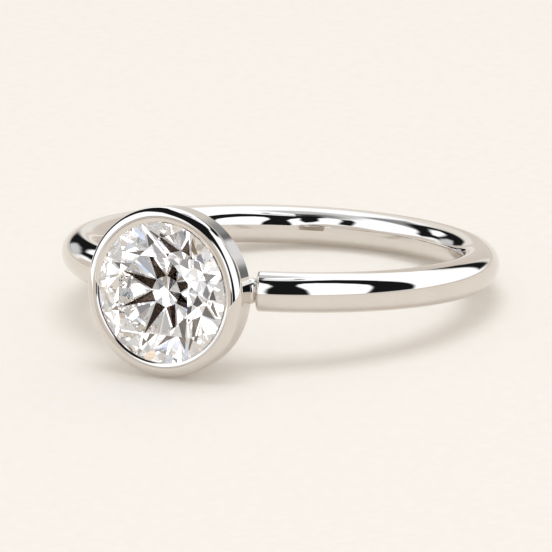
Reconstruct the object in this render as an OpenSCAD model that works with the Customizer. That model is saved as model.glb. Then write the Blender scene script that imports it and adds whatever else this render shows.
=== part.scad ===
// Bezel set ring: one round stone in a round bezel on a thin round wire band.
// It lies on a flat surface as it rests by itself: the back of the band and the back edge of
// the bezel touch the surface, so the whole ring leans back a little. Millimetres and degrees.

/* [Ring size] */
// Inside diameter of the finger hole
finger_d = 17.2; // [15:0.1:21]
// Thickness of the round wire of the band
wire_d = 1.9; // [1.6:0.1:2.4]
// Width of the polished flat along the inside of the band
finger_flat_w = 0.2; // [0.1:0.05:0.4]

/* [Stone] */
// Diameter of the stone at its girdle
stone_d = 6.8; // [6:0.1:7.6]
// Corner to corner width of the table
table_d = 3.9; // [3.4:0.1:4.3]
// Slope of the eight main crown facets
crown_angle = 34.5; // [32:0.5:36]
// Slope of the eight main pavilion facets
pavilion_angle = 40.8; // [40:0.1:41.4]
// Thickness of the girdle at the facet corners
girdle_t = 0.17; // [0.14:0.01:0.24]
// Length of the star facets, from the table's edge towards the girdle
star_len = 0.8; // [0.6:0.05:1]
// Length of the lower girdle facets, from the girdle towards the culet
lower_half_len = 2.6; // [2.2:0.1:2.8]
// Height of the culet above the finger hole
culet_clear = 0.225; // [0.15:0.025:0.5]

/* [Bezel] */
// Metal outside the girdle, up to the widest part of the rim
rim_w = 0.6; // [0.5:0.05:0.8]
// Radius of the rounded rim
rim_round_r = 0.45; // [0.38:0.01:0.5]
// Height of the rim's crest above the girdle
rim_rise = 0.27; // [0.2:0.01:0.35]
// How far the rim laps over the edge of the stone
lip_lap = 0.11; // [0.06:0.01:0.16]
// Gap between the stone and the metal all round
stone_gap = 0.02; // [0.01:0.005:0.04]
// Step from the rim in to the side wall
wall_step = 0.1; // [0.05:0.01:0.15]
// Height of the bezel from the back edge of its side wall to the crest of its rim
bezel_h = 1.6; // [1.3:0.05:1.9]
// Radius on the back edge of the side wall
wall_edge_r = 0.08; // [0.04:0.01:0.12]
// Width of the ledge that the stone sits on
seat_w = 0.3; // [0.2:0.02:0.4]
// Diameter of the open back of the cup
back_hole_d = 3.4; // [2.8:0.1:3.8]
// Wall of the cup round its open back
foot_wall_t = 0.6; // [0.4:0.05:0.8]
// How far the foot of the cup reaches down beside the finger hole
foot_reach = 0.25; // [0.15:0.05:0.4]

/* [Band ends] */
// Radius on the edge of each end of the band
end_round_r = 0.15; // [0.08:0.01:0.25]
// Diameter of the bead that joins each end of the band to the bezel
bead_d = 1.24; // [1:0.02:1.5]
// Distance from the end of the band to the middle of its bead
bead_standoff = 0.32; // [0.2:0.02:0.45]
// Distance from the side of the cup out to the middle of the bead
bead_out = 0.27; // [0.15:0.01:0.4]

/* [Hidden] */

// Sides of the round surfaces, and points on the girdle for each upper or lower girdle facet
ROUND_FN = 180;
SECTION_FN = 72;
GIRDLE_STEPS = 4;
// Main facets of a brilliant, and the angle of one
MAINS = 8;
MAIN_STEP = 360 / MAINS;
HALF = MAIN_STEP / 2;
// Spare length of a cutting solid past the metal it cuts
OVER = 2;

finger_r = finger_d / 2;
wire_r = wire_d / 2;
stone_r = stone_d / 2;
table_r = table_d / 2;
bead_r = bead_d / 2;
back_hole_r = back_hole_d / 2;

// Middle of the wire, measured from the centre of the ring
finger_flat_depth = wire_r - sqrt(pow(wire_r, 2) - pow(finger_flat_w / 2, 2));
band_r = finger_r - finger_flat_depth + wire_r;

// Heights of the head, measured from the centre of the ring along the bezel's axis
culet_h = finger_r + culet_clear;
girdle_low_h = culet_h + stone_r * tan(pavilion_angle);
girdle_top_h = girdle_low_h + girdle_t;
table_h = girdle_top_h + (stone_r - table_r) * tan(crown_angle);
crest_h = girdle_top_h + rim_rise;
rim_mid_h = crest_h - rim_round_r;
wall_back_h = crest_h - bezel_h;
foot_h = finger_r - foot_reach;

// Radii of the head, measured from the bezel's axis
rim_r = stone_r + rim_w;
rim_mid_r = rim_r - rim_round_r;
wall_r = rim_r - wall_step;
lip_r = stone_r - lip_lap;
recess_r = stone_r + stone_gap;
seat_r = stone_r - seat_w;
foot_r = back_hole_r + foot_wall_t;

// Where the star facets and the lower girdle facets come to a point
star_r = table_r * cos(HALF) + star_len;
star_h = girdle_top_h + (stone_r - star_r * cos(HALF)) * tan(crown_angle);
half_r = stone_r - lower_half_len;
half_h = girdle_low_h - (stone_r - half_r * cos(HALF)) * tan(pavilion_angle);

// Steepest lines of the crown and of the pavilion, which the lip and the seat follow at a gap
lip_slope = (star_h - girdle_top_h) / (stone_r - star_r);
seat_slope = (girdle_low_h - half_h) / (stone_r - half_r);
lip_lift = stone_gap * sqrt(1 + pow(lip_slope, 2));
seat_drop = stone_gap * sqrt(1 + pow(seat_slope, 2));
function lip_under_h(r) = girdle_top_h + (stone_r - r) * lip_slope + lip_lift;
function seat_top_h(r) = girdle_low_h - (stone_r - r) * seat_slope - seat_drop;

// The bead's middle lies on the band's circle, bead_out beyond the cup's sloping side
cup_slope = (wall_r - wall_edge_r - foot_r) / (wall_back_h - foot_h);
bead_back = end_round_r + bead_standoff;
bead_ring_r = sqrt(pow(band_r, 2) + pow(bead_back, 2));
bead_angle = atan(cup_slope)
    + asin((foot_r - cup_slope * foot_h + bead_out) / (bead_ring_r * sqrt(1 + pow(cup_slope, 2))));
end_angle = bead_angle + atan(bead_back / band_r);

// Lean of the resting ring: the wire's underside and the wall's back edge are level
lean_run = band_r + wall_back_h + wall_edge_r;
lean_rise = wall_r - wall_edge_r;
lean = atan(lean_rise / lean_run)
    - asin((wire_r - wall_edge_r) / sqrt(pow(lean_run, 2) + pow(lean_rise, 2)));
centre_z = band_r * sin(lean) + wire_r;

// The origin is under the middle of the ring's box: the stone or the rim is its front
stone_front = table_h * cos(lean) + table_r * cos(HALF) * sin(lean);
rim_front = rim_mid_h * cos(lean) + rim_mid_r * sin(lean) + rim_round_r;
band_back = band_r * cos(lean) + wire_r;
centre_y = (max(stone_front, rim_front) - band_back) / 2;

// Places the ring, drawn round Z with its bezel towards -Y, in its resting pose
module resting() {
    translate([0, centre_y, centre_z]) rotate([-lean, 0, 0]) children();
}

// Turns the bezel's axis, drawn along +Z, towards -Y
module head() {
    rotate([90, 0, 0]) children();
}

module band() {
    rotate([0, 0, -90 + end_angle])
        rotate_extrude(angle = 360 - 2 * end_angle, $fn = ROUND_FN)
            translate([band_r, 0]) circle(r = wire_r, $fn = SECTION_FN);
}

// Rounded end of the band and the bead beyond it, on the +X side
module band_end() {
    rotate([0, 0, -90 + end_angle]) translate([band_r, 0, 0]) rotate([90, 0, 0]) {
        rotate_extrude($fn = SECTION_FN) intersection() {
            union() {
                square([wire_r - end_round_r, end_round_r]);
                translate([wire_r - end_round_r, 0]) circle(r = end_round_r, $fn = SECTION_FN);
            }
            square([wire_r, end_round_r]);
        }
        translate([0, 0, bead_back]) sphere(r = bead_r, $fn = SECTION_FN);
    }
}

// Half section of the bezel: radius to the right, height up
module bezel_section() {
    difference() {
        union() {
            polygon([
                [0, foot_h],
                [foot_r, foot_h],
                [wall_r - wall_edge_r, wall_back_h],
                [wall_r - wall_edge_r, wall_back_h + wall_edge_r],
                [wall_r, wall_back_h + wall_edge_r],
                [wall_r, rim_mid_h],
                [0, rim_mid_h]
            ]);
            translate([wall_r - wall_edge_r, wall_back_h + wall_edge_r])
                circle(r = wall_edge_r, $fn = SECTION_FN);
            translate([rim_mid_r, rim_mid_h]) circle(r = rim_round_r, $fn = SECTION_FN);
        }
        polygon([
            [0, foot_h - OVER],
            [back_hole_r, foot_h - OVER],
            [back_hole_r, foot_h],
            [seat_r, wall_back_h],
            [seat_r, seat_top_h(seat_r)],
            [recess_r, seat_top_h(recess_r)],
            [recess_r, lip_under_h(recess_r)],
            [lip_r, lip_under_h(lip_r)],
            [lip_r, crest_h + OVER],
            [0, crest_h + OVER]
        ]);
    }
}

module bezel() {
    head() rotate_extrude($fn = ROUND_FN) bezel_section();
}

module band_with_bezel() {
    color("gainsboro") resting() difference() {
        union() {
            band();
            band_end();
            mirror([1, 0, 0]) band_end();
            bezel();
        }
        cylinder(r = finger_r, h = 2 * (rim_r + OVER), center = true, $fn = ROUND_FN);
    }
}

// Point at an angle round the stone's axis, where 0 is towards the ring's axis direction
function around(r, angle, h) = [r * sin(angle), r * cos(angle), h];

// Point on the girdle where a sloping facet meets it: the facet passes through a tip at
// tip_r and tip_h, and through the girdle's level at both ends of its stretch of the girdle
function facet_edge(i, tip_r, tip_h, level) =
    let (
        phase = (i % GIRDLE_STEPS) * HALF / GIRDLE_STEPS,
        chord_r = stone_r * cos(HALF / 2),
        tip_in = chord_r - tip_r * cos(HALF / 2),
        bulge = stone_r * cos(phase - HALF / 2) - chord_r
    )
    around(stone_r, HALF + i * HALF / GIRDLE_STEPS, level - bulge * (tip_h - level) / tip_in);

// Round brilliant: table, stars, crown mains, upper girdle facets, girdle, lower girdle
// facets and pavilion mains, with the main facets half a step off the upright
module stone() {
    girdle_n = 2 * MAINS * GIRDLE_STEPS;
    mains = [0:MAINS - 1];
    points = concat(
        [for (k = mains) around(table_r, HALF + k * MAIN_STEP, table_h)],
        [for (k = mains) around(star_r, MAIN_STEP + k * MAIN_STEP, star_h)],
        [for (i = [0:girdle_n - 1]) facet_edge(i, star_r, star_h, girdle_top_h)],
        [for (i = [0:girdle_n - 1]) facet_edge(i, half_r, half_h, girdle_low_h)],
        [for (k = mains) around(half_r, MAIN_STEP + k * MAIN_STEP, half_h)],
        [[0, 0, culet_h]]
    );
    star0 = MAINS;
    top0 = 2 * MAINS;
    low0 = top0 + girdle_n;
    half0 = low0 + girdle_n;
    culet = half0 + MAINS;
    // Girdle points from one main facet to the next one, and half way
    full = 2 * GIRDLE_STEPS;
    function girdle(base, k, i) = base + (k * full + i + girdle_n) % girdle_n;
    function prev(k) = (k + MAINS - 1) % MAINS;
    function next(k) = (k + 1) % MAINS;
    faces = concat(
        [[for (k = mains) k]],
        [for (k = mains) [k, star0 + k, next(k)]],
        [for (k = mains) [k, star0 + prev(k), girdle(top0, k, 0), star0 + k]],
        [for (k = mains) concat([star0 + k], [for (i = [0:GIRDLE_STEPS]) girdle(top0, k, i)])],
        [for (k = mains) concat([star0 + k],
            [for (i = [GIRDLE_STEPS:full]) girdle(top0, k, i)])],
        [for (i = [0:girdle_n - 1])
            [top0 + i, low0 + i, low0 + (i + 1) % girdle_n, top0 + (i + 1) % girdle_n]],
        [for (k = mains) concat([half0 + k],
            [for (i = [GIRDLE_STEPS:-1:0]) girdle(low0, k, i)])],
        [for (k = mains) concat([half0 + k],
            [for (i = [full:-1:GIRDLE_STEPS]) girdle(low0, k, i)])],
        [for (k = mains) [culet, half0 + k, girdle(low0, k, 0), half0 + prev(k)]]
    );
    color("aliceblue", 0.6) resting() head() polyhedron(points, faces);
}

band_with_bezel();
stone();
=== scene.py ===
"""Looks of the bezel set ring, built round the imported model. Metres, in the row's own frame."""

import math

import bpy
import numpy as np
from mathutils import Matrix, Vector


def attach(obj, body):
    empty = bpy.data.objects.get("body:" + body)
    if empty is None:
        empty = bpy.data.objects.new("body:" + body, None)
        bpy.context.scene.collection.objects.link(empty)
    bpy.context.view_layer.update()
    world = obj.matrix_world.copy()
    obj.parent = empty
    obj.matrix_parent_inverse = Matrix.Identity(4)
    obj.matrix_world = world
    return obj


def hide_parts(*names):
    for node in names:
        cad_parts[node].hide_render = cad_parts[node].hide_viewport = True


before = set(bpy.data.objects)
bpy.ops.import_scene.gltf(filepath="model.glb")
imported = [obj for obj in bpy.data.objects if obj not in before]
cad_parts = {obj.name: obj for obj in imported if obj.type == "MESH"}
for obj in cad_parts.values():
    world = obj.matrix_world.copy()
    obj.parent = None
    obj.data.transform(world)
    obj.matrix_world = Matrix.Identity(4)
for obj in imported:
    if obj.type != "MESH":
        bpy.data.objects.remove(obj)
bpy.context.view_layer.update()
scene = bpy.context.scene
MM = 0.001

# Sizes in millimetres, as in the part's source. The band
FINGER_R = 8.6
WIRE_R = 0.95
FLAT_W = 0.2
END_ROUND_R = 0.15
BEAD_R = 0.62
BEAD_STANDOFF = 0.32
BEAD_OUT = 0.27

# The stone
STONE_R = 3.4
TABLE_R = 1.95
CROWN = math.radians(34.5)
PAVILION = math.radians(40.8)
GIRDLE_T = 0.17
STAR_LEN = 0.8
LOWER_HALF_LEN = 2.6
CULET_CLEAR = 0.225
MAIN_FACETS = 8

# The bezel
RIM_W = 0.6
RIM_ROUND_R = 0.45
RIM_RISE = 0.27
LIP_LAP = 0.11
STONE_GAP = 0.02
WALL_STEP = 0.1
BEZEL_H = 1.6
WALL_EDGE_R = 0.08
SEAT_W = 0.3
BACK_HOLE_R = 1.7
FOOT_WALL_T = 0.6
FOOT_REACH = 0.25

# Steps of the round meshes
BAND_STEPS = 300
TUBE_STEPS = 80
CAP_STEPS = 10
BEZEL_STEPS = 288
BEAD_STEPS = 72
CUTTER_STEPS = 720
CONE_STEPS = 6
WALL_STEPS = 4
# Degrees in a step of the bezel's small arcs, and the fewest steps in an arc
ARC_STEP, ARC_LEAST_STEPS = 6, 4

# Places in the ring's own frame: the finger's axis is Z, the head lies along -Y, and heights
# are measured from the finger's axis towards the head

# From an eight-sided outline's corners to the middles of its sides
COS_HALF = math.cos(math.pi / MAIN_FACETS)
band_r = FINGER_R - (WIRE_R - math.sqrt(WIRE_R**2 - (FLAT_W / 2) ** 2)) + WIRE_R
culet_h = FINGER_R + CULET_CLEAR
girdle_low_h = culet_h + STONE_R * math.tan(PAVILION)
girdle_top_h = girdle_low_h + GIRDLE_T
table_h = girdle_top_h + (STONE_R - TABLE_R) * math.tan(CROWN)
star_r = TABLE_R * COS_HALF + STAR_LEN
half_r = STONE_R - LOWER_HALF_LEN
crest_h = girdle_top_h + RIM_RISE
rim_mid_h = crest_h - RIM_ROUND_R
wall_back_h = crest_h - BEZEL_H
foot_h = FINGER_R - FOOT_REACH
rim_mid_r = STONE_R + RIM_W - RIM_ROUND_R
wall_r = STONE_R + RIM_W - WALL_STEP
lip_r = STONE_R - LIP_LAP
recess_r = STONE_R + STONE_GAP
seat_r = STONE_R - SEAT_W
foot_r = BACK_HOLE_R + FOOT_WALL_T
lip_slope = (STONE_R - star_r * COS_HALF) * math.tan(CROWN) / (STONE_R - star_r)
seat_slope = (STONE_R - half_r * COS_HALF) * math.tan(PAVILION) / LOWER_HALF_LEN
cup_slope = (wall_r - WALL_EDGE_R - foot_r) / (wall_back_h - foot_h)
bead_back = END_ROUND_R + BEAD_STANDOFF
bead_angle = math.atan(cup_slope) + math.asin(
    (foot_r - cup_slope * foot_h + BEAD_OUT)
    / (math.hypot(band_r, bead_back) * math.hypot(1, cup_slope))
)
end_angle = bead_angle + math.atan(bead_back / band_r)

# The ring lies on the bezel's lower edge and the back of the band
lean_run = band_r + wall_back_h + WALL_EDGE_R
lean_rise = wall_r - WALL_EDGE_R
lean = math.atan(lean_rise / lean_run) - math.asin(
    (WIRE_R - WALL_EDGE_R) / math.hypot(lean_run, lean_rise)
)
centre_z = band_r * math.sin(lean) + WIRE_R
stone_front = table_h * math.cos(lean) + TABLE_R * COS_HALF * math.sin(lean)
centre_y = (stone_front - band_r * math.cos(lean) - WIRE_R) / 2
# From the ring's own frame, in millimetres, to the row's frame, in metres
RESTING = (
    Matrix.Scale(MM, 4)
    @ Matrix.Translation((0, centre_y, centre_z))
    @ Matrix.Rotation(-lean, 4, "X")
)

# What each face belongs to, for its exact normals. Faces of the bezel count on from PROFILE
TUBE, CAP, BEAD, HOLE, PROFILE = 1, 2, 3, 4, 10


def lip_under_h(r):
    """Height of the lip's underside, a gap above the crown."""
    return girdle_top_h + (STONE_R - r) * lip_slope + STONE_GAP * math.hypot(1, lip_slope)


def seat_top_h(r):
    """Height of the ledge's top, a gap below the pavilion."""
    return girdle_low_h - (STONE_R - r) * seat_slope - STONE_GAP * math.hypot(1, seat_slope)


def mesh_object(name, points, faces, prims):
    """A mesh in the scene that remembers what each of its faces belongs to."""
    mesh = bpy.data.meshes.new(name)
    mesh.from_pydata([tuple(p) for p in points], [], faces)
    mesh.attributes.new("prim", "INT", "FACE").data.foreach_set("value", prims)
    obj = bpy.data.objects.new(name, mesh)
    scene.collection.objects.link(obj)
    return obj


def grid_faces(rows, columns, wrap_rows=False):
    """Quads between rows of points, closed round each row."""
    faces = []
    for i in range(rows if wrap_rows else rows - 1):
        a, b = i * columns, (i + 1) % rows * columns
        faces += [
            (a + j, a + (j + 1) % columns, b + (j + 1) % columns, b + j) for j in range(columns)
        ]
    return faces


def wire_ring(phis, angle, ahead, radius):
    """Points round the wire at an angle from -Y, moved ahead along it and held off the finger."""
    out = Vector((math.sin(angle), -math.cos(angle), 0))
    along = Vector((math.cos(angle), math.sin(angle), 0))
    centre = out * band_r + along * ahead
    points = []
    for phi in phis:
        p = centre - out * (radius * math.cos(phi)) + Vector((0, 0, radius * math.sin(phi)))
        across = math.hypot(p.x, p.y)
        if across < FINGER_R:
            p = Vector((p.x * FINGER_R / across, p.y * FINGER_R / across, p.z))
        points.append(p)
    return points


def rounded_end(phis, angle, direction):
    """Rings of points over one rounded end of the wire, in the direction of rising angles."""
    rings = []
    for i in range(CAP_STEPS + 1):
        t = math.pi / 2 * (i if direction < 0 else CAP_STEPS - i) / CAP_STEPS
        radius = WIRE_R - END_ROUND_R + END_ROUND_R * math.sin(t)
        rings.append(wire_ring(phis, angle, direction * END_ROUND_R * math.cos(t), radius))
    return rings


def band():
    """The wire from end to end, with its rounded ends and the flat along its inside."""
    flat_edge = math.asin(FLAT_W / 2 / WIRE_R)
    # Angles round the wire, from the middle of the flat, with points on both edges of the flat
    round_part = np.linspace(flat_edge, 2 * math.pi - flat_edge, TUBE_STEPS)
    phis = np.concatenate(([0.0], round_part))
    first, last = end_angle, 2 * math.pi - end_angle
    rings = rounded_end(phis, first, -1)
    for i in range(1, BAND_STEPS):
        rings.append(wire_ring(phis, first + (last - first) * i / BAND_STEPS, 0, WIRE_R))
    rings += rounded_end(phis, last, 1)
    columns = len(phis)
    faces, prims = grid_faces(len(rings), columns), []
    for i in range(len(rings) - 1):
        kind = CAP if i < CAP_STEPS or i >= len(rings) - 1 - CAP_STEPS else TUBE
        prims += [HOLE if j in (0, columns - 1) and kind == TUBE else kind for j in range(columns)]
    faces.append(tuple(reversed(range(columns))))
    faces.append(tuple((len(rings) - 1) * columns + j for j in range(columns)))
    prims += [CAP, CAP]
    return mesh_object("band", [p for ring in rings for p in ring], faces, prims)


def end_frame(side):
    """Middle of an end of the wire and the direction that it faces."""
    middle = Vector((side * math.sin(end_angle), -math.cos(end_angle), 0)) * band_r
    return middle, Vector((-side * math.cos(end_angle), -math.sin(end_angle), 0))


def bead_centre(side):
    middle, facing = end_frame(side)
    return middle + facing * bead_back


def bead(side):
    """The small ball that joins one end of the wire to the bezel."""
    centre = bead_centre(side)
    rows, points = BEAD_STEPS // 2, []
    for i in range(1, rows):
        t = math.pi * i / rows
        for j in range(BEAD_STEPS):
            a = 2 * math.pi * j / BEAD_STEPS
            v = Vector((math.sin(t) * math.cos(a), math.sin(t) * math.sin(a), math.cos(t)))
            points.append(centre + v * BEAD_R)
    faces = [tuple(reversed(f)) for f in grid_faces(rows - 1, BEAD_STEPS)]
    top, bottom = len(points), len(points) + 1
    points += [centre + Vector((0, 0, BEAD_R)), centre - Vector((0, 0, BEAD_R))]
    base = (rows - 2) * BEAD_STEPS
    for j in range(BEAD_STEPS):
        k = (j + 1) % BEAD_STEPS
        faces += [(top, j, k), (bottom, base + k, base + j)]
    return mesh_object("bead", points, faces, [BEAD] * len(faces))


def bezel_profile():
    """Points round the bezel's section, and for each stretch None or the middle of its arc."""
    meet = math.acos((wall_r - rim_mid_r) / RIM_ROUND_R)
    lip = math.acos((lip_r - rim_mid_r) / RIM_ROUND_R)
    edge_mid = (wall_r - WALL_EDGE_R, wall_back_h + WALL_EDGE_R)
    rim_mid = (rim_mid_r, rim_mid_h)
    points, middles = [(foot_r, foot_h)], []

    def line(r, h, steps=1):
        r0, h0 = points[-1]
        for i in range(1, steps + 1):
            points.append((r0 + (r - r0) * i / steps, h0 + (h - h0) * i / steps))
            middles.append(None)

    def arc(middle, radius, start, end):
        steps = max(ARC_LEAST_STEPS, round(math.degrees(end - start) / ARC_STEP))
        for i in range(1, steps + 1):
            t = start + (end - start) * i / steps
            points.append((middle[0] + radius * math.cos(t), middle[1] + radius * math.sin(t)))
            middles.append(middle)

    line(wall_r - WALL_EDGE_R, wall_back_h, CONE_STEPS)
    arc(edge_mid, WALL_EDGE_R, -math.pi / 2, 0)
    line(wall_r, rim_mid_h - RIM_ROUND_R * math.sin(meet), WALL_STEPS)
    arc(rim_mid, RIM_ROUND_R, -meet, lip)
    line(lip_r, lip_under_h(lip_r))
    line(recess_r, lip_under_h(recess_r))
    line(recess_r, seat_top_h(recess_r))
    line(seat_r, seat_top_h(seat_r))
    line(seat_r, wall_back_h)
    line(BACK_HOLE_R, foot_h, CONE_STEPS)
    line(foot_r, foot_h)
    # The last point is the first one again
    points.pop()
    return points, middles


profile_points, profile_middles = bezel_profile()


def bezel():
    """The bezel's section turned round the head's axis."""
    points, n = [], len(profile_points)
    for i in range(BEZEL_STEPS):
        a = 2 * math.pi * i / BEZEL_STEPS
        points += [Vector((r * math.sin(a), -h, r * math.cos(a))) for r, h in profile_points]
    faces = grid_faces(BEZEL_STEPS, n, wrap_rows=True)
    return mesh_object("bezel", points, faces, [PROFILE + k for k in range(n)] * BEZEL_STEPS)


def hole_cutter():
    """A cylinder as wide as the finger and longer than the bezel is wide."""
    points, half_length = [], 6
    for h in (-half_length, half_length):
        points += [
            Vector((FINGER_R * math.sin(a), FINGER_R * math.cos(a), h))
            for a in (2 * math.pi * (i + 0.5) / CUTTER_STEPS for i in range(CUTTER_STEPS))
        ]
    faces = grid_faces(2, CUTTER_STEPS)
    faces += [tuple(reversed(range(CUTTER_STEPS))), tuple(range(CUTTER_STEPS, 2 * CUTTER_STEPS))]
    return mesh_object("hole_cutter", points, faces, [HOLE] * len(faces))


def facing_out(obj):
    """Turns a closed mesh's faces outward."""
    mesh = obj.data
    mesh.calc_loop_triangles()
    co = np.array([v.co for v in mesh.vertices])
    tri = np.array([t.vertices for t in mesh.loop_triangles])
    volume = np.einsum("ij,ij->i", co[tri[:, 0]], np.cross(co[tri[:, 1]], co[tri[:, 2]])).sum()
    if volume < 0:
        mesh.flip_normals()
    return obj


def boolean(obj, other, operation):
    """Joins or cuts a mesh with another one, which is used up."""
    modifier = obj.modifiers.new("join", "BOOLEAN")
    modifier.solver, modifier.operation, modifier.object = "EXACT", operation, other
    graph = bpy.context.evaluated_depsgraph_get()
    mesh = bpy.data.meshes.new_from_object(obj.evaluated_get(graph))
    obj.modifiers.clear()
    obj.data = mesh
    bpy.data.objects.remove(other)
    return obj


def exact_normal(p, prim, side):
    """The true surface's normal at a point in the ring's own frame."""
    flat = Vector((p.x, p.y, 0)).normalized()
    if prim == HOLE:
        return -flat
    if prim == TUBE:
        return (p - flat * band_r).normalized()
    if prim == BEAD:
        return (p - bead_centre(side)).normalized()
    if prim == CAP:
        middle, facing = end_frame(side)
        flat_r, on_edge = WIRE_R - END_ROUND_R, 1e-4
        ahead = (p - middle).dot(facing)
        across = p - middle - facing * ahead
        if across.length < flat_r + on_edge:
            return facing
        return (across - across.normalized() * flat_r + facing * ahead).normalized()
    k = prim - PROFILE
    (r0, h0), (r1, h1) = profile_points[k], profile_points[(k + 1) % len(profile_points)]
    if profile_middles[k] is None:
        nr, nh = h1 - h0, r0 - r1
    else:
        nr = math.hypot(p.x, p.z) - profile_middles[k][0]
        nh = -p.y - profile_middles[k][1]
    out = Vector((p.x, 0, p.z)).normalized()
    return (out * nr + Vector((0, -nh, 0))).normalized()


def smooth(obj, name):
    """Gives a joined mesh its true normals, puts it in place and makes it a piece of the ring."""
    mesh = obj.data
    prims = [d.value for d in mesh.attributes["prim"].data]
    normals = [None] * len(mesh.loops)
    for polygon in mesh.polygons:
        polygon.use_smooth = True
        side = 1 if polygon.center.x > 0 else -1
        for loop_index in polygon.loop_indices:
            p = mesh.vertices[mesh.loops[loop_index].vertex_index].co
            normal = exact_normal(p, prims[polygon.index], side)
            normals[loop_index] = -normal if normal.dot(polygon.normal) < 0 else normal
    mesh.transform(RESTING)
    turn = RESTING.to_3x3().normalized()
    mesh.normals_split_custom_set([tuple(turn @ n) for n in normals])
    mesh.attributes.remove(mesh.attributes["prim"])
    obj.name = mesh.name = name
    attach(obj, "root")
    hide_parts("band_with_bezel")
    return obj


head = boolean(facing_out(bezel()), facing_out(hole_cutter()), "DIFFERENCE")
loop = boolean(facing_out(band()), facing_out(bead(1)), "UNION")
loop = boolean(loop, facing_out(bead(-1)), "UNION")
# The beads end where they meet the bezel
loop = boolean(loop, facing_out(bezel()), "DIFFERENCE")
head = smooth(head, "polished_bezel")
loop = smooth(loop, "polished_band")
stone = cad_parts["stone"]


def new_material(name):
    material = bpy.data.materials.new(name)
    material.use_nodes = True
    tree = material.node_tree
    tree.nodes.clear()
    return material, tree, tree.nodes.new("ShaderNodeOutputMaterial")


def link(tree, a, b):
    tree.links.new(a, b)


def noise(tree, size, detail=3):
    """Noise with grains of a given size in metres, fixed to the object."""
    coords, texture = tree.nodes.new("ShaderNodeTexCoord"), tree.nodes.new("ShaderNodeTexNoise")
    texture.inputs["Scale"].default_value = 1 / size
    texture.inputs["Detail"].default_value = detail
    link(tree, coords.outputs["Object"], texture.inputs["Vector"])
    return texture.outputs["Fac"]


# The part of a noise's range that a ramp runs over
NOISE_RANGE = (0.35, 0.65)


def ramp_between(tree, value, low, high):
    """A colour that goes from low to high over the middle of a noise."""
    ramp = tree.nodes.new("ShaderNodeValToRGB")
    for element, position, colour in zip(ramp.color_ramp.elements, NOISE_RANGE, (low, high)):
        element.position, element.color = position, (*colour, 1)
    link(tree, value, ramp.inputs["Fac"])
    return ramp.outputs["Color"]


def bump(tree, value, depth, strength):
    node = tree.nodes.new("ShaderNodeBump")
    node.inputs["Distance"].default_value = depth
    node.inputs["Strength"].default_value = strength
    link(tree, value, node.inputs["Height"])
    return node.outputs[0]


def math_node(tree, operation, *values):
    """A maths node with its inputs taken from sockets or plain numbers."""
    node = tree.nodes.new("ShaderNodeMath")
    node.operation = operation
    for socket, value in zip(node.inputs, values):
        if isinstance(value, (int, float)):
            socket.default_value = value
        else:
            link(tree, value, socket)
    return node.outputs[0]


# White gold: its tint, its roughness, and the sizes of its patches and waves
GOLD_LOW = (0.735, 0.695, 0.655)
GOLD_HIGH = (0.765, 0.725, 0.685)
SHINE_LOW = (0.015,) * 3
SHINE_HIGH = (0.035,) * 3
GOLD_SHINE_GRAIN = 0.9 * MM
GOLD_TINT_GRAIN = 2.5 * MM
GOLD_WAVE = 0.5 * MM
GOLD_WAVE_DEPTH = 0.001 * MM
GOLD_WAVE_STRENGTH = 0.3


def white_gold():
    """Polished metal with the faint waves and uneven shine that hand polishing leaves."""
    material, tree, out = new_material("white_gold")
    shader = tree.nodes.new("ShaderNodeBsdfPrincipled")
    shader.inputs["Metallic"].default_value = 1
    shine, tint = noise(tree, GOLD_SHINE_GRAIN), noise(tree, GOLD_TINT_GRAIN)
    waves = bump(tree, noise(tree, GOLD_WAVE, detail=1), GOLD_WAVE_DEPTH, GOLD_WAVE_STRENGTH)
    link(tree, ramp_between(tree, tint, GOLD_LOW, GOLD_HIGH), shader.inputs["Base Color"])
    link(tree, ramp_between(tree, shine, SHINE_LOW, SHINE_HIGH), shader.inputs["Roughness"])
    link(tree, waves, shader.inputs["Normal"])
    link(tree, shader.outputs[0], out.inputs[0])
    return material


# The stone's glass
STONE_IOR = 2.417
STONE_TINT = (1, 0.997, 0.992)
STONE_TINT_GRAIN = 1.2 * MM
# The star's arms, a painted dark reflection on the main facets: where they start and end, half
# their width at the start, their soft edge as a share of the stone's radius, and their tone
STAR_FROM = 0.7
STAR_TO = 2.15
STAR_WIDE = 0.235
STAR_SOFT = 0.006
STAR_SHADE_TONE = (0.075, 0.054, 0.041, 1)
# How far the slope of a main facet's face may be from the pavilion's
SLOPE_MARGIN = 0.003


def glass_shader(tree):
    shader = tree.nodes.new("ShaderNodeBsdfGlass")
    shader.inputs["Color"].default_value = (1, 1, 1, 1)
    shader.inputs["IOR"].default_value = STONE_IOR
    shader.inputs["Roughness"].default_value = 0
    return shader


def brilliant():
    """Clear glass with a trace of colour in its depth."""
    material, tree, out = new_material("brilliant")
    shader = glass_shader(tree)
    tint = ramp_between(tree, noise(tree, STONE_TINT_GRAIN), STONE_TINT, (1, 1, 1))
    link(tree, tint, shader.inputs["Color"])
    link(tree, shader.outputs[0], out.inputs[0])
    return material


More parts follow.
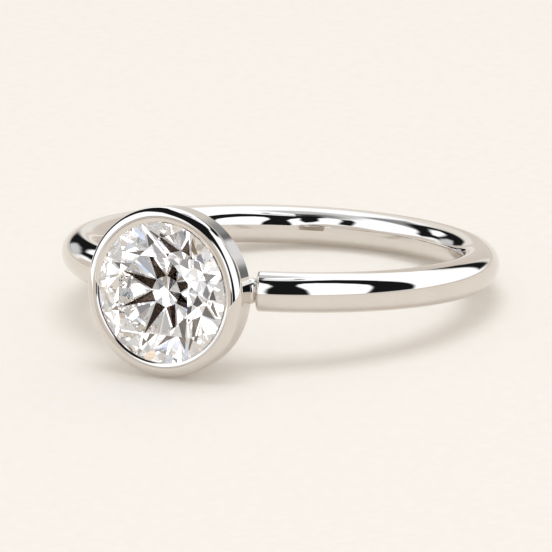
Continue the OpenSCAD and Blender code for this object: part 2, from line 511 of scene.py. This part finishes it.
def star_distance(tree):
    """How far outside its arm of the star a point of a main facet lies, negative inside."""
    coords, mapping = tree.nodes.new("ShaderNodeTexCoord"), tree.nodes.new("ShaderNodeMapping")
    split, around = tree.nodes.new("ShaderNodeSeparateXYZ"), tree.nodes.new("ShaderNodeTexGradient")
    around.gradient_type = "RADIAL"
    # Z becomes the radius along the middle of a facet, as a share of the stone's
    scale = 1 / (STONE_R * MM * math.tan(PAVILION))
    upright = lean - math.pi / 2
    culet = RESTING @ Vector((0, -culet_h, 0))
    mapping.inputs["Rotation"].default_value = (upright, 0, 0)
    mapping.inputs["Scale"].default_value = (scale, scale, scale)
    mapping.inputs["Location"].default_value = Matrix.Rotation(upright, 3, "X") @ culet * -scale
    link(tree, coords.outputs["Object"], mapping.inputs["Vector"])
    link(tree, mapping.outputs[0], split.inputs[0])
    link(tree, mapping.outputs[0], around.inputs[0])
    out_share = split.outputs["Z"]
    # Nought in the middle of each facet and a half at its sides
    turn = math_node(tree, "MULTIPLY", around.outputs["Fac"], MAIN_FACETS)
    aside = math_node(tree, "SUBTRACT", math_node(tree, "FRACT", turn), 0.5)
    aside = math_node(tree, "ABSOLUTE", aside)
    across = math_node(tree, "MULTIPLY", aside, out_share)
    across = math_node(tree, "MULTIPLY", across, 2 * math.pi / MAIN_FACETS)
    # Each arm narrows evenly to its tip
    narrowing = STAR_WIDE / (STAR_TO - STAR_FROM)
    over_side = math_node(tree, "MULTIPLY_ADD", out_share, narrowing, across)
    over_side = math_node(tree, "SUBTRACT", over_side, narrowing * STAR_TO / STONE_R)
    inside_start = math_node(tree, "SUBTRACT", STAR_FROM / STONE_R, out_share)
    return math_node(tree, "MAXIMUM", over_side, inside_start)


def painted_star_glass():
    """Glass for the main facets, which mirror less over the arms of the star: a painted dark
    reflection.
    """
    material, tree, out = new_material("brilliant_painted_star")
    shader, clear = glass_shader(tree), glass_shader(tree)
    ramp = tree.nodes.new("ShaderNodeValToRGB")
    first, second = ramp.color_ramp.elements
    # Inside the arms the glass takes the tone of a painted dark reflection
    first.position, first.color = 0, STAR_SHADE_TONE
    second.position, second.color = STAR_SOFT, (1, 1, 1, 1)
    link(tree, star_distance(tree), ramp.inputs["Fac"])
    link(tree, ramp.outputs["Color"], shader.inputs["Color"])
    # Only light that has just entered through the crown meets the painted dark star
    rays, mix = tree.nodes.new("ShaderNodeLightPath"), tree.nodes.new("ShaderNodeMixShader")
    link(tree, rays.outputs["Is Transmission Ray"], mix.inputs["Fac"])
    link(tree, clear.outputs[0], mix.inputs[1])
    link(tree, shader.outputs[0], mix.inputs[2])
    link(tree, mix.outputs[0], out.inputs[0])
    return material


def dress_stone():
    """Flat facets of clear glass, with the glass of the painted dark star on the main facets of the
    pavilion.
    """
    stone.data.materials.clear()
    stone.data.materials.append(brilliant())
    stone.data.materials.append(painted_star_glass())
    inward = (RESTING.to_3x3() @ Vector((0, 1, 0))).normalized()
    for polygon in stone.data.polygons:
        polygon.use_smooth = False
        slope = (stone.matrix_world.to_3x3() @ polygon.normal).normalized().dot(inward)
        polygon.material_index = int(abs(slope - math.cos(PAVILION)) < SLOPE_MARGIN)


metal_mat = white_gold()
for obj in (head, loop):
    obj.data.materials.clear()
    obj.data.materials.append(metal_mat)
    # Light that leaves the stone passes the metal and the floor and meets the stone's tent
    obj.visible_transmission = False
dress_stone()

# The floor: a matt sheet with a fine grain and a painted glow that lightens the shadows on it
FLOOR_SIZE = 3
FLOOR_DROP = 0.00001
FLOOR_LOW = (0.905, 0.875, 0.825)
FLOOR_HIGH = (0.935, 0.905, 0.855)
FLOOR_GRAIN = 0.6 * MM
FLOOR_BUMP_DEPTH = 0.02 * MM
FLOOR_BUMP_STRENGTH = 0.25
FLOOR_SHADOW_FILL_TONE = (0.96, 0.9, 0.83, 1)
FLOOR_SHADOW_FILL_GLOW = 0.17
FLOOR_ROUGHNESS = 0.8


def make_floor():
    bpy.ops.mesh.primitive_plane_add(size=FLOOR_SIZE, location=(0, 0, -FLOOR_DROP))
    floor = bpy.context.object
    floor.name = "floor"
    material, tree, out = new_material("floor")
    shader = tree.nodes.new("ShaderNodeBsdfPrincipled")
    grain = noise(tree, FLOOR_GRAIN, detail=6)
    relief = bump(tree, grain, FLOOR_BUMP_DEPTH, FLOOR_BUMP_STRENGTH)
    link(tree, ramp_between(tree, grain, FLOOR_LOW, FLOOR_HIGH), shader.inputs["Base Color"])
    link(tree, relief, shader.inputs["Normal"])
    # Painted light: the floor glows by itself, so the shadows cast on it come out lighter
    shader.inputs["Emission Color"].default_value = FLOOR_SHADOW_FILL_TONE
    shader.inputs["Emission Strength"].default_value = FLOOR_SHADOW_FILL_GLOW
    shader.inputs["Roughness"].default_value = FLOOR_ROUGHNESS
    link(tree, shader.outputs[0], out.inputs[0])
    floor.data.materials.append(material)
    floor.visible_transmission = False


# The lamp and the room's light reach matt surfaces alone
KEY_PLACE = Vector((0.01, 0, 0.35))
KEY_SIZE = 0.25
KEY_ENERGY = 0.39
KEY_TONE = (0.88, 0.94, 1)
ROOM_TONE = (1, 0.95, 0.895, 1)
ROOM_STRENGTH = 0.65


def make_lights():
    key_data = bpy.data.lights.new("key", "AREA")
    key_data.shape, key_data.size, key_data.energy = "DISK", KEY_SIZE, KEY_ENERGY
    key_data.color = KEY_TONE
    key = bpy.data.objects.new("key", key_data)
    scene.collection.objects.link(key)
    key.location = KEY_PLACE
    key.rotation_euler = (Vector((0, 0, 0)) - KEY_PLACE).to_track_quat("-Z", "Y").to_euler()
    key.visible_glossy = key.visible_transmission = key.visible_camera = False
    world = bpy.data.worlds.new("studio")
    scene.world = world
    world.use_nodes = True
    background = world.node_tree.nodes["Background"]
    background.inputs[0].default_value = ROOM_TONE
    background.inputs[1].default_value = ROOM_STRENGTH
    world.cycles_visibility.glossy = world.cycles_visibility.transmission = False


make_floor()
make_lights()

# Radii of the light tents and of the black shell round them, in millimetres
BAND_TENT_R = 70
BEZEL_TENT_R = 72
STONE_TENT_R = 74
SHELL_R = 76
SHELL_STEPS = 64
# The step of a tent's mesh, and the lower edges of an open tent and a whole one, in degrees
TENT_STEP = 1.0
TENT_LOW = -8
WHOLE_LOW = -90


def inside_distance(az, el, polygon):
    """Distance in degrees to a polygon's edge, positive inside."""
    best, inside = np.full(az.shape, np.inf), np.zeros(az.shape, bool)
    for (x0, y0), (x1, y1) in zip(polygon, polygon[1:] + polygon[:1]):
        dx, dy = x1 - x0, y1 - y0
        t = np.clip(((az - x0) * dx + (el - y0) * dy) / (dx * dx + dy * dy), 0, 1)
        best = np.minimum(best, np.hypot(az - x0 - t * dx, el - y0 - t * dy))
        if y0 != y1:
            crosses = (y0 > el) != (y1 > el)
            inside ^= crosses & (az < dx * (el - y0) / dy + x0)
    return np.where(inside, best, -best)


def painted(az, el, panels, base):
    """Light over a tent: soft-edged panels laid over a base, in order."""
    light = np.empty(az.shape + (3,))
    light[:] = base
    for tone, soft, polygon in panels:
        # A panel that passes the tent's seam is painted from both sides
        turns = (0, 360, -360) if max(abs(x) for x, _ in polygon) > 180 else (0,)
        inside = np.maximum.reduce([inside_distance(az + turn, el, polygon) for turn in turns])
        w = np.clip(inside / soft + 0.5, 0, 1)
        light += (np.array(tone, float) - light) * (w * w * (3 - 2 * w))[..., None]
    return light


def tent_material(name):
    """Shows the light painted on a tent and lets everything through."""
    material, tree, out = new_material(name)
    colour = tree.nodes.new("ShaderNodeAttribute")
    colour.attribute_name = "light"
    emission = tree.nodes.new("ShaderNodeEmission")
    clear = tree.nodes.new("ShaderNodeBsdfTransparent")
    add = tree.nodes.new("ShaderNodeAddShader")
    link(tree, colour.outputs["Color"], emission.inputs["Color"])
    link(tree, emission.outputs[0], add.inputs[0])
    link(tree, clear.outputs[0], add.inputs[1])
    link(tree, add.outputs[0], out.inputs[0])
    material.cycles.emission_sampling = "NONE"
    return material


def tent(name, radius, panels, base, receiver, low=TENT_LOW, transmission=False):
    """A round light tent that only the given piece mirrors or lets through."""
    columns, rows = int(360 / TENT_STEP), int((90 - low) / TENT_STEP) + 1
    az = np.radians(np.arange(columns) * TENT_STEP - 180)
    el = np.radians(np.linspace(low, 90, rows))
    a, e = np.meshgrid(az, el)
    co = np.stack([np.sin(a) * np.cos(e), -np.cos(a) * np.cos(e), np.sin(e)], -1) * radius * MM
    mesh = bpy.data.meshes.new(name)
    mesh.from_pydata(co.reshape(-1, 3).tolist(), [], grid_faces(rows, columns))
    light = painted(np.degrees(a), np.degrees(e), panels, base).reshape(-1, 3)
    attribute = mesh.attributes.new("light", "FLOAT_COLOR", "POINT")
    attribute.data.foreach_set("color", np.hstack([light, np.ones((len(light), 1))]).ravel())
    mesh.materials.append(tent_material(name))
    obj = bpy.data.objects.new(name, mesh)
    scene.collection.objects.link(obj)
    obj.visible_camera = obj.visible_diffuse = obj.visible_shadow = False
    obj.visible_transmission = transmission
    group = bpy.data.collections.new(name)
    group.objects.link(receiver)
    obj.light_linking.receiver_collection = group


# Tones of the tents' panels, from dark to bright
SOOT = (0.012, 0.006, 0.002)
BLACK = (0.012, 0.012, 0.013)
DARK = (0.06, 0.062, 0.065)
MID = (0.16, 0.125, 0.1)
VIOLET = (0.16, 0.14, 0.5)
IRON = (0.19, 0.195, 0.205)
STEEL = (0.24, 0.26, 0.29)
GREY = (0.33, 0.345, 0.36)
TAN = (0.42, 0.34, 0.28)
SILVER = (0.5, 0.52, 0.56)
HAZE = (0.6, 0.59, 0.58)
FLOORLIGHT = (0.66, 0.6, 0.54)
PALE = (0.72, 0.75, 0.78)
SAND = (0.77, 0.74, 0.7)
BEIGE = (0.78, 0.72, 0.66)
SKY = (0.8, 0.95, 1.3)
FAIR = (0.92, 0.95, 0.99)
BACKDROP = (0.95, 0.93, 0.89)
AMBER = (1.25, 0.95, 0.65)
WHITE = (1.4, 1.48, 1.57)
BRIGHT = (2.2, 2.2, 2.25)

# Each panel is a tone, the width of its soft edge in degrees, and its outline. An outline's points
# are directions seen from the ring's middle: degrees round from -Y towards +X, and degrees up
BAND_PANELS = [
    # The backdrop on the left
    (BACKDROP, 14, [(-200, -9), (-200, 34), (-110, 34), (-96, -9)]),
    # The ceiling
    (PALE, 10, [(-150, 64), (-120, 62), (-90, 66), (-40, 66), (-40, 95), (-185, 95), (-185, 70)]),
    (GREY, 8, [(-120, 76), (-80, 73), (-45, 70), (-20, 72), (-10, 95), (-120, 95)]),
    (DARK, 6, [(-90, 82), (-40, 77), (-20, 70), (20, 74), (10, 95), (-90, 95)]),
    # The black arch and the white card in it, which the front of the band shows
    (BLACK, 3, [
        (21, 5), (20.5, 15), (22, 30), (26, 45), (24, 55), (16, 63), (-6, 66), (-30, 74), (-20, 80),
        (10, 77), (40, 76), (70, 76), (100, 74), (116, 70), (115, 62), (109, 50), (107, 38),
        (105, 28), (102, 18), (97, 6),
    ]),
    (WHITE, 2.5, [
        (42, 5), (43.5, 30), (42, 48), (46, 56), (54, 61), (66, 62), (78, 58), (84, 50), (86, 42),
        (82, 32), (76, 20), (70, 5),
    ]),
    # Black strips that the back shows
    (BLACK, 4, [(-54, 64), (-40, 66), (-22, 50), (-16, 38), (-26, 34), (-36, 48)]),
    (BLACK, 4, [(-12, 70), (-6, 60), (-2, 50), (4, 42), (11, 36), (15, 46), (15, 58), (12, 68)]),
    # A thin grey edge along the top of the front
    (GREY, 1.5, [(0, 80.5), (140, 78.5), (140, 81), (0, 83)]),
    # The crescent on the left
    (GREY, 9, [(-140, 40), (-128, 60), (-112, 64), (-104, 52), (-100, 40)]),
    (BLACK, 5, [
        (-146, 10), (-143, 22), (-136, 36), (-128, 44), (-118, 47), (-106, 43), (-96, 34),
        (-86, 27), (-88, 20), (-100, 19), (-106, 16), (-112, 6), (-140, 4),
    ]),
    (WHITE, 4, [
        (-131, 30), (-124, 35), (-115, 33), (-108, 27), (-112, 23), (-122, 24), (-130, 25),
    ]),
    (PALE, 5, [(-128, 14), (-122, 18), (-112, 18), (-106, 14), (-110, 6), (-124, 6)]),
    # The dark crescent behind on the right
    (BLACK, 5, [
        (153, 8), (158, 20), (163, 30), (171, 36), (185, 38), (185, 27), (173, 24), (170, 15),
        (168, 6),
    ]),
    # The floor's warm light, low all round
    (BEIGE, 5, [(-185, -5), (-185, 40), (-168, 38), (-158, 14), (-152, -5)]),
    (BEIGE, 7, [
        (-104, -5), (-100, 12), (-85, 18), (-60, 20), (-45, 22), (-30, 32), (-5, 34), (8, 30),
        (12, 8), (12, -5),
    ]),
    (BEIGE, 3, [(-200, -9), (-200, 4), (0, 4.5), (60, 5), (120, 5), (200, 3), (200, -9)]),
]

BEZEL_PANELS = [
    # A low dark card in front
    (BLACK, 2, [(-14, -2), (-14, 6), (16, 6), (16, -2)]),
    # The backdrop on both sides
    (BACKDROP, 14, [(-200, -9), (-200, 26), (-110, 26), (-96, -9)]),
    (BACKDROP, 14, [(154, -9), (154, 26), (200, 26), (200, -9)]),
    # The ceiling
    (GREY, 6, [(-185, 80), (-120, 79), (-60, 84), (-60, 95), (-185, 95)]),
    (GREY, 6, [(100, 84), (130, 80), (150, 84), (150, 95), (60, 95)]),
    # What the wall shows, from its top to its right side
    (SAND, 8, [(215, -9), (210, 22), (196, 34), (176, 34), (172, 20), (182, -9)]),
    (GREY, 16, [(155, 10), (155, 46), (184, 46), (186, 18)]),
    (IRON, 6, [(158, 20), (158, 32), (169, 33), (171, 25)]),
    (FAIR, 5, [(110, 20), (114, 46), (150, 44), (163, 36), (164, 8)]),
    (IRON, 10, [(106, -9), (110, 20), (124, 28), (140, 20), (150, 10), (156, -9)]),
    # Thin dark lines between the wall and the rim
    (BLACK, 2, [(114, 6), (119, 30), (126, 42), (134, 38), (127, 28), (122, 6)]),
    (BLACK, 4, [
        (192, 31), (190, 37), (178, 42), (160, 51), (143, 60), (122, 66), (118, 58), (138, 48),
        (155, 38), (166, 33), (180, 32),
    ]),
    # The floor's warm light in front, with a thin grey line round it
    (BEIGE, 6, [
        (-31, -9), (-30, 13), (-20, 19), (-14, 21), (-6, 27), (0, 32), (4, 26), (4, 12), (4, -9),
    ]),
    (GREY, 2, [
        (-40, 5), (-35, 12), (-28, 16), (-21, 13), (-20, 9), (-27, 11), (-33, 7), (-37, 2),
    ]),
    # The black arch that the rim shows
    (BLACK, 4, [
        (20, -9), (20, 16), (20, 24), (15, 31), (8, 32), (2, 27), (-6, 26), (-12, 27), (-15, 32),
        (-23, 36), (-34, 45), (-50, 47), (-60, 48), (-68, 47), (-76, 43), (-87, 30), (-89, 15),
        (-81, 4), (-79, -9), (-126, -9), (-121, 14), (-124, 35), (-130, 48), (-130, 58),
        (-118, 66), (-100, 74), (-70, 80), (0, 86), (60, 84), (100, 81), (115, 77), (106, 70),
        (90, 69), (70, 68), (56, 62), (48, 54), (43, 46), (38, 32), (38, 22), (44, 8), (48, 0),
        (48, -9),
    ]),
]

# The scattered cards: the number that would cover the whole tent, and their reach and soft edge
# in degrees
SPARKLE_COUNT = 230
SPARKLE_REACH = 6.2
SPARKLE_SOFT = 1.5
SPARKLE_TONES = (STEEL, BRIGHT, TAN, BRIGHT, SILVER, BRIGHT, MID, BRIGHT, SKY, TAN, BRIGHT)
# They lie within some degrees of a point in front. Towards the top, where the tent's rings are
# smaller, they reach over more degrees, up to the limit that a least ring sets
SPARKLE_MIDDLE_EL = 8
SPARKLE_WITHIN = 75
SPARKLE_LEAST_RING = 0.2
GOLDEN_ANGLE = 137.508


def sparkle():
    """Small cards spread evenly over the front of the stone's tent by the golden angle."""
    cards = []
    for i in range(SPARKLE_COUNT):
        el = math.degrees(math.asin(1 - 2 * (i + 0.5) / SPARKLE_COUNT))
        az = i * GOLDEN_ANGLE % 360 - 180
        if math.hypot(az, el - SPARKLE_MIDDLE_EL) > SPARKLE_WITHIN:
            continue
        wide = SPARKLE_REACH / max(math.cos(math.radians(el)), SPARKLE_LEAST_RING)
        outline = [(az - wide, el), (az, el + SPARKLE_REACH)]
        outline += [(az + wide, el), (az, el - SPARKLE_REACH)]
        cards.append((SPARKLE_TONES[i % len(SPARKLE_TONES)], SPARKLE_SOFT, outline))
    return cards


def card(tone, left, right, low, high, soft=3):
    """A panel with upright sides and a level top."""
    return tone, soft, [(left, low), (left, high), (right, high), (right, low)]


STONE_PANELS = [
    # The floor's light from below
    (FLOORLIGHT, 8, [(-200, -95), (-200, -2), (200, -2), (200, -95)]),
    *sparkle(),
    # Bright cards
    (BRIGHT, 3, [(17, -14), (17, -5), (21, -4), (30, -1), (30, -6), (26, -14)]),
    card(BRIGHT, 50, 60, -20, -10),
    (BRIGHT, 3, [(28, 44), (28, 52), (36, 66), (48, 64), (44, 54), (36, 44)]),
    (BRIGHT, 3, [(31, 6), (31, 15), (46, 14), (46, 8)]),
    (BRIGHT, 3, [(13, 15), (14, 34), (24, 34), (27, 24), (24, 15)]),
    (BRIGHT, 3, [(36, 22), (36, 44), (46, 44), (48, 26)]),
    card(BRIGHT, 57, 73, 4, 19),
    (BRIGHT, 3, [(-38, 22), (-38, 40), (-24, 40), (-14, 30), (-14, 22)]),
    card(BRIGHT, 28, 54, -58, -34),
    card(BRIGHT, -12, 4, 22, 30),
    card(BRIGHT, 3.5, 12, 32, 42),
    card(BRIGHT, -42, -24, -55, -9),
    # Grey cards
    card(STEEL, 41, 52, -9, 8),
    card(STEEL, 70, 80, -16, -5),
    card(STEEL, 60, 69, 33, 43),
    card(SILVER, 37, 45, 43, 50),
    card(SILVER, 80, 95, 56, 68),
    (STEEL, 3, [(32, -24), (31, -9), (38, -8), (39, -24)]),
    card(SILVER, 35, 42, 17, 25),
    card(SILVER, -20, -10, 70, 80),
    # Touches of colour
    card(SKY, 36, 45, 37, 42),
    card(VIOLET, -5, 3, -39, -31),
    card(AMBER, 20, 29, 53, 62),
    card(AMBER, 5, 13, 50, 58),
    card(AMBER, 0, 7, -30, -23),
    card(AMBER, 66, 74, -1, 10),
    card(SKY, 50, 58, 22, 32),
    # The middle of the star
    (TAN, 2, [(-15, -14), (-15, -5), (1, -5), (1, -12)]),
    card(STEEL, -7, 0, 11, 17, soft=2),
    # What the table mirrors, dark so that no glare hides the star
    card(SOOT, -27.5, -20.5, -4, 5, soft=2),
]

tent("band_tent", BAND_TENT_R, BAND_PANELS, WHITE, loop)
tent("bezel_tent", BEZEL_TENT_R, BEZEL_PANELS, WHITE, head)
tent("stone_tent", STONE_TENT_R, STONE_PANELS, HAZE, stone, low=WHOLE_LOW, transmission=True)

# The strip: its turn, then in millimetres the place that it is turned about, half its width, its
# near and far end, and its height over the floor
STRIP_TURN = math.radians(-27.7)
STRIP_ORIGIN = Vector((0, -11, 0))
STRIP_HALF_W = 3.2
STRIP_NEAR = -44
STRIP_FAR = -78
STRIP_LIFT = 0.02


def black_matt(name):
    material, tree, out = new_material(name)
    shader = tree.nodes.new("ShaderNodeBsdfDiffuse")
    shader.inputs["Color"].default_value = (0, 0, 0, 1)
    link(tree, shader.outputs[0], out.inputs[0])
    return material


def make_strip():
    """A dark strip on the far floor, seen in mirrors only: it keeps the glare off the table."""
    turn = Matrix.Rotation(STRIP_TURN, 3, "Z")
    corners = [
        (turn @ Vector((x, y, STRIP_LIFT)) + STRIP_ORIGIN) * MM
        for x, y in (
            (-STRIP_HALF_W, STRIP_NEAR),
            (STRIP_HALF_W, STRIP_NEAR),
            (STRIP_HALF_W, STRIP_FAR),
            (-STRIP_HALF_W, STRIP_FAR),
        )
    ]
    mesh = bpy.data.meshes.new("strip")
    mesh.from_pydata(corners, [], [(0, 1, 2, 3)])
    mesh.materials.append(black_matt("strip"))
    strip = bpy.data.objects.new("strip", mesh)
    scene.collection.objects.link(strip)
    strip.visible_camera = strip.visible_diffuse = strip.visible_shadow = False


def make_shell():
    """A black shell round the tents, seen in mirrors only: it keeps the far floor out of them."""
    bpy.ops.mesh.primitive_uv_sphere_add(
        segments=SHELL_STEPS, ring_count=SHELL_STEPS // 2, radius=SHELL_R * MM
    )
    shell = bpy.context.object
    shell.name = "shell"
    shell.data.materials.append(black_matt("shell"))
    shell.visible_camera = shell.visible_diffuse = shell.visible_shadow = False


make_strip()
make_shell()

# The camera: its direction and roll, its distance and the shift of its target in millimetres
CAMERA_AZIMUTH = math.radians(27.74)
CAMERA_ELEVATION = math.radians(17.37)
CAMERA_ROLL = math.radians(-2.01)
CAMERA_DISTANCE = 300
TARGET_RIGHT = -0.224
TARGET_UP = -0.914
SENSOR_W = 36
LENS = 408.35
# What it sees, from and to, in metres
CLIP_NEAR = 0.01
CLIP_FAR = 20


def make_camera():
    """The camera at the photo's angle, aimed just below the ring's middle."""
    back = Vector(
        (
            math.sin(CAMERA_AZIMUTH) * math.cos(CAMERA_ELEVATION),
            -math.cos(CAMERA_AZIMUTH) * math.cos(CAMERA_ELEVATION),
            math.sin(CAMERA_ELEVATION),
        )
    )
    level = Vector((math.cos(CAMERA_AZIMUTH), math.sin(CAMERA_AZIMUTH), 0))
    upright = back.cross(level)
    right = level * math.cos(CAMERA_ROLL) + upright * math.sin(CAMERA_ROLL)
    up = upright * math.cos(CAMERA_ROLL) - level * math.sin(CAMERA_ROLL)
    target = Vector((0, centre_y, centre_z)) + right * TARGET_RIGHT + up * TARGET_UP
    camera_data = bpy.data.cameras.new("camera")
    camera = bpy.data.objects.new("camera", camera_data)
    scene.collection.objects.link(camera)
    camera_data.sensor_width, camera_data.lens = SENSOR_W, LENS
    camera_data.clip_start, camera_data.clip_end = CLIP_NEAR, CLIP_FAR
    place = Matrix((right, up, back)).transposed().to_4x4()
    place.translation = (target + back * CAMERA_DISTANCE) * MM
    camera.matrix_world = place
    scene.camera = camera


make_camera()

# Light runs to and fro many times in the stone before it leaves
BOUNCES = 64
CLEAR_BOUNCES = 32
scene.view_settings.view_transform = "Standard"
scene.cycles.max_bounces = BOUNCES
scene.cycles.glossy_bounces = BOUNCES
scene.cycles.transmission_bounces = BOUNCES
scene.cycles.transparent_max_bounces = CLEAR_BOUNCES
scene.cycles.use_denoising = True
